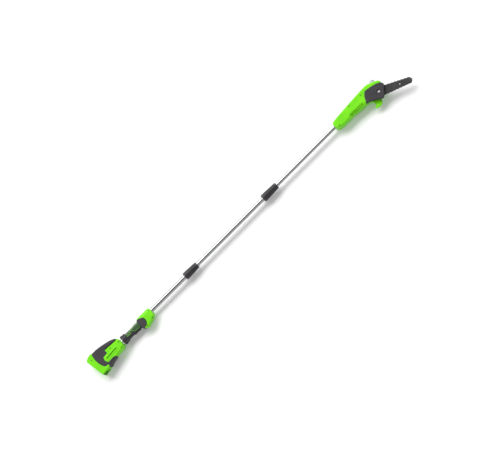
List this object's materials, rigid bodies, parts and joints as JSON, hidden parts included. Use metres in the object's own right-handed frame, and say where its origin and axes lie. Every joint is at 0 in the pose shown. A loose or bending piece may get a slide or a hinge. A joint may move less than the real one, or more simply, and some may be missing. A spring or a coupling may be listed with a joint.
{
  "type": "telescoping pole saw",
  "caption": "Cordless pruning saw on a telescoping tube pole, with twist collars, a guarded grip, a battery foot and a tilted guide bar with chain.",
  "frame": {"origin": "on the flat left face of the battery foot that the tool lies on, in line with the pole's axis and at the middle of the foot's bottom end", "axes": "+X along the pole towards the saw, +Y the tool's top side (lock-off lever and oil cap), +Z its right side (sprocket cover), away from the ground it lies on"},
  "size_m": [2.4379, 0.2036, 0.074],
  "materials": {
    "lime_plastic": "satin moulded nylon",
    "charcoal_plastic": "fine textured moulded nylon",
    "soft_grip": "soft overmoulded rubber",
    "clear_grey": "frosted polyethylene",
    "tube_steel": "drawn, satin anodised",
    "dark_steel": "blackened steel",
    "bright_steel": "zinc plated",
    "copper": "enamelled winding",
    "board": "circuit board",
    "cell_wrap": "shrink wrap",
    "lead": "sheathed lead"
  },
  "bodies": {
    "handle": {"foot_right": "lime_plastic", "foot_left": "lime_plastic", "housing_right": "charcoal_plastic", "housing_left": "charcoal_plastic", "dome_right": "lime_plastic", "dome_left": "lime_plastic", "handle_screws": "dark_steel", "terminal_block": "charcoal_plastic", "control_board": "board", "neck_spigot": "bright_steel", "grip_collar": "charcoal_plastic", "grip_right": "charcoal_plastic", "grip_left": "charcoal_plastic", "grip_inlays": "soft_grip", "guard_right": "lime_plastic", "guard_left": "lime_plastic", "trigger_switch": "charcoal_plastic", "trigger_spring": "bright_steel", "lever_pins": "bright_steel", "lock_off_spring": "bright_steel", "lower_tube": "tube_steel", "coiled_lead": "lead", "low_ferrule": "charcoal_plastic", "low_collet": "clear_grey"},
    "battery": {"battery_case_lower": "charcoal_plastic", "battery_case_upper": "lime_plastic", "battery_cells": "cell_wrap"},
    "latch": {"battery_latch": "lime_plastic"},
    "trigger": {"trigger": "charcoal_plastic"},
    "lock_off": {"lock_off": "clear_grey"},
    "low_collar": {"low_sleeve": "charcoal_plastic"},
    "middle_pole": {"middle_tube": "tube_steel", "middle_plug": "charcoal_plastic", "high_ferrule": "charcoal_plastic", "high_collet": "clear_grey"},
    "high_collar": {"high_sleeve": "charcoal_plastic"},
    "head": {"upper_tube": "tube_steel", "upper_plug": "charcoal_plastic", "head_lead": "lead", "head_right": "lime_plastic", "head_left": "lime_plastic", "head_screws": "dark_steel", "motor_can": "bright_steel", "bearings": "bright_steel", "bar_stud": "bright_steel", "oil_tank": "clear_grey", "oil_pump": "charcoal_plastic", "branch_hook": "lime_plastic"},
    "rotor": {"motor_rotor": "copper", "motor_pinion": "bright_steel"},
    "sprocket_drive": {"drive_gear": "bright_steel", "sprocket_shaft": "bright_steel", "sprocket": "bright_steel"},
    "saw_bar": {"guide_bar": "dark_steel", "saw_chain": "dark_steel", "tension_block": "bright_steel"},
    "tension_screw": {"tension_screw": "bright_steel"},
    "cover": {"sprocket_cover": "charcoal_plastic"},
    "nut": {"bar_nut": "bright_steel"},
    "oil_cap": {"oil_cap": "clear_grey"}
  },
  "joints": [
    {"name": "middle_pole_slide", "type": "slide", "parent": "handle", "child": "middle_pole", "axis": [1, 0, 0], "range_m": [-0.29, 0]},
    {"name": "upper_pole_slide", "type": "slide", "parent": "middle_pole", "child": "head", "axis": [1, 0, 0], "range_m": [-0.43, 0]},
    {"name": "low_collar_twist", "type": "hinge", "parent": "handle", "child": "low_collar", "pos_m": [0.76, 0, 0.037], "axis": [1, 0, 0], "range_deg": [0, 60]},
    {"name": "high_collar_twist", "type": "hinge", "parent": "middle_pole", "child": "high_collar", "pos_m": [1.39, 0, 0.037], "axis": [1, 0, 0], "range_deg": [0, 60]},
    {"name": "trigger_pull", "type": "hinge", "parent": "handle", "child": "trigger", "pos_m": [0.322, -0.023, 0.037], "axis": [0, 0, 1], "range_deg": [-8, 0], "stiffness_Nm_per_rad": 0.8, "springref_deg": 14.32, "deforming": ["trigger_spring"]},
    {"name": "lock_off_press", "type": "hinge", "parent": "handle", "child": "lock_off", "pos_m": [0.334, 0.004, 0.037], "axis": [0, 0, 1], "range_deg": [0, 6], "stiffness_Nm_per_rad": 0.5, "springref_deg": -14.32, "deforming": ["lock_off_spring"]},
    {"name": "battery_slide", "type": "slide", "parent": "handle", "child": "battery", "axis": [0.1736, -0.9848, 0], "range_m": [0, 0.125]},
    {"name": "latch_press", "type": "slide", "parent": "battery", "child": "latch", "axis": [0.9848, 0.1736, 0], "range_m": [0, 0.003], "stiffness_N_per_m": 1200, "springref_m": -0.004},
    {"name": "rotor_spin", "type": "hinge", "parent": "head", "child": "rotor", "pos_m": [2.13653, -0.01063, 0.037], "axis": [0, 0, 1], "continuous": true},
    {"name": "sprocket_spin", "type": "hinge", "parent": "head", "child": "sprocket_drive", "pos_m": [2.16913, -0.01936, 0.037], "axis": [0, 0, 1], "continuous": true},
    {"name": "tension_screw_turn", "type": "hinge", "parent": "head", "child": "tension_screw", "pos_m": [2.22722, -0.02935, 0.043], "axis": [0.91, -0.4147, 0], "range_deg": [-1080, 0]},
    {"name": "bar_tension", "type": "slide", "parent": "head", "child": "saw_bar", "axis": [0.91, -0.4147, 0], "range_m": [-0.003, 0]},
    {"name": "cover_lift", "type": "slide", "parent": "head", "child": "cover", "axis": [0, 0, 1], "range_m": [0, 0.045]},
    {"name": "bar_nut_turn", "type": "hinge", "parent": "cover", "child": "nut", "pos_m": [2.221, -0.043, 0.07], "axis": [0, 0, 1], "continuous": true},
    {"name": "oil_cap_lift", "type": "slide", "parent": "head", "child": "oil_cap", "axis": [0.4147, 0.91, 0], "range_m": [0, 0.03]}
  ],
  "couplings": [
    {"joint": "sprocket_spin", "follows": "rotor_spin", "ratio": -0.38461},
    {"joint": "tension_screw_turn", "follows": "bar_tension", "rad_per_m": 6283.2}
  ]
}
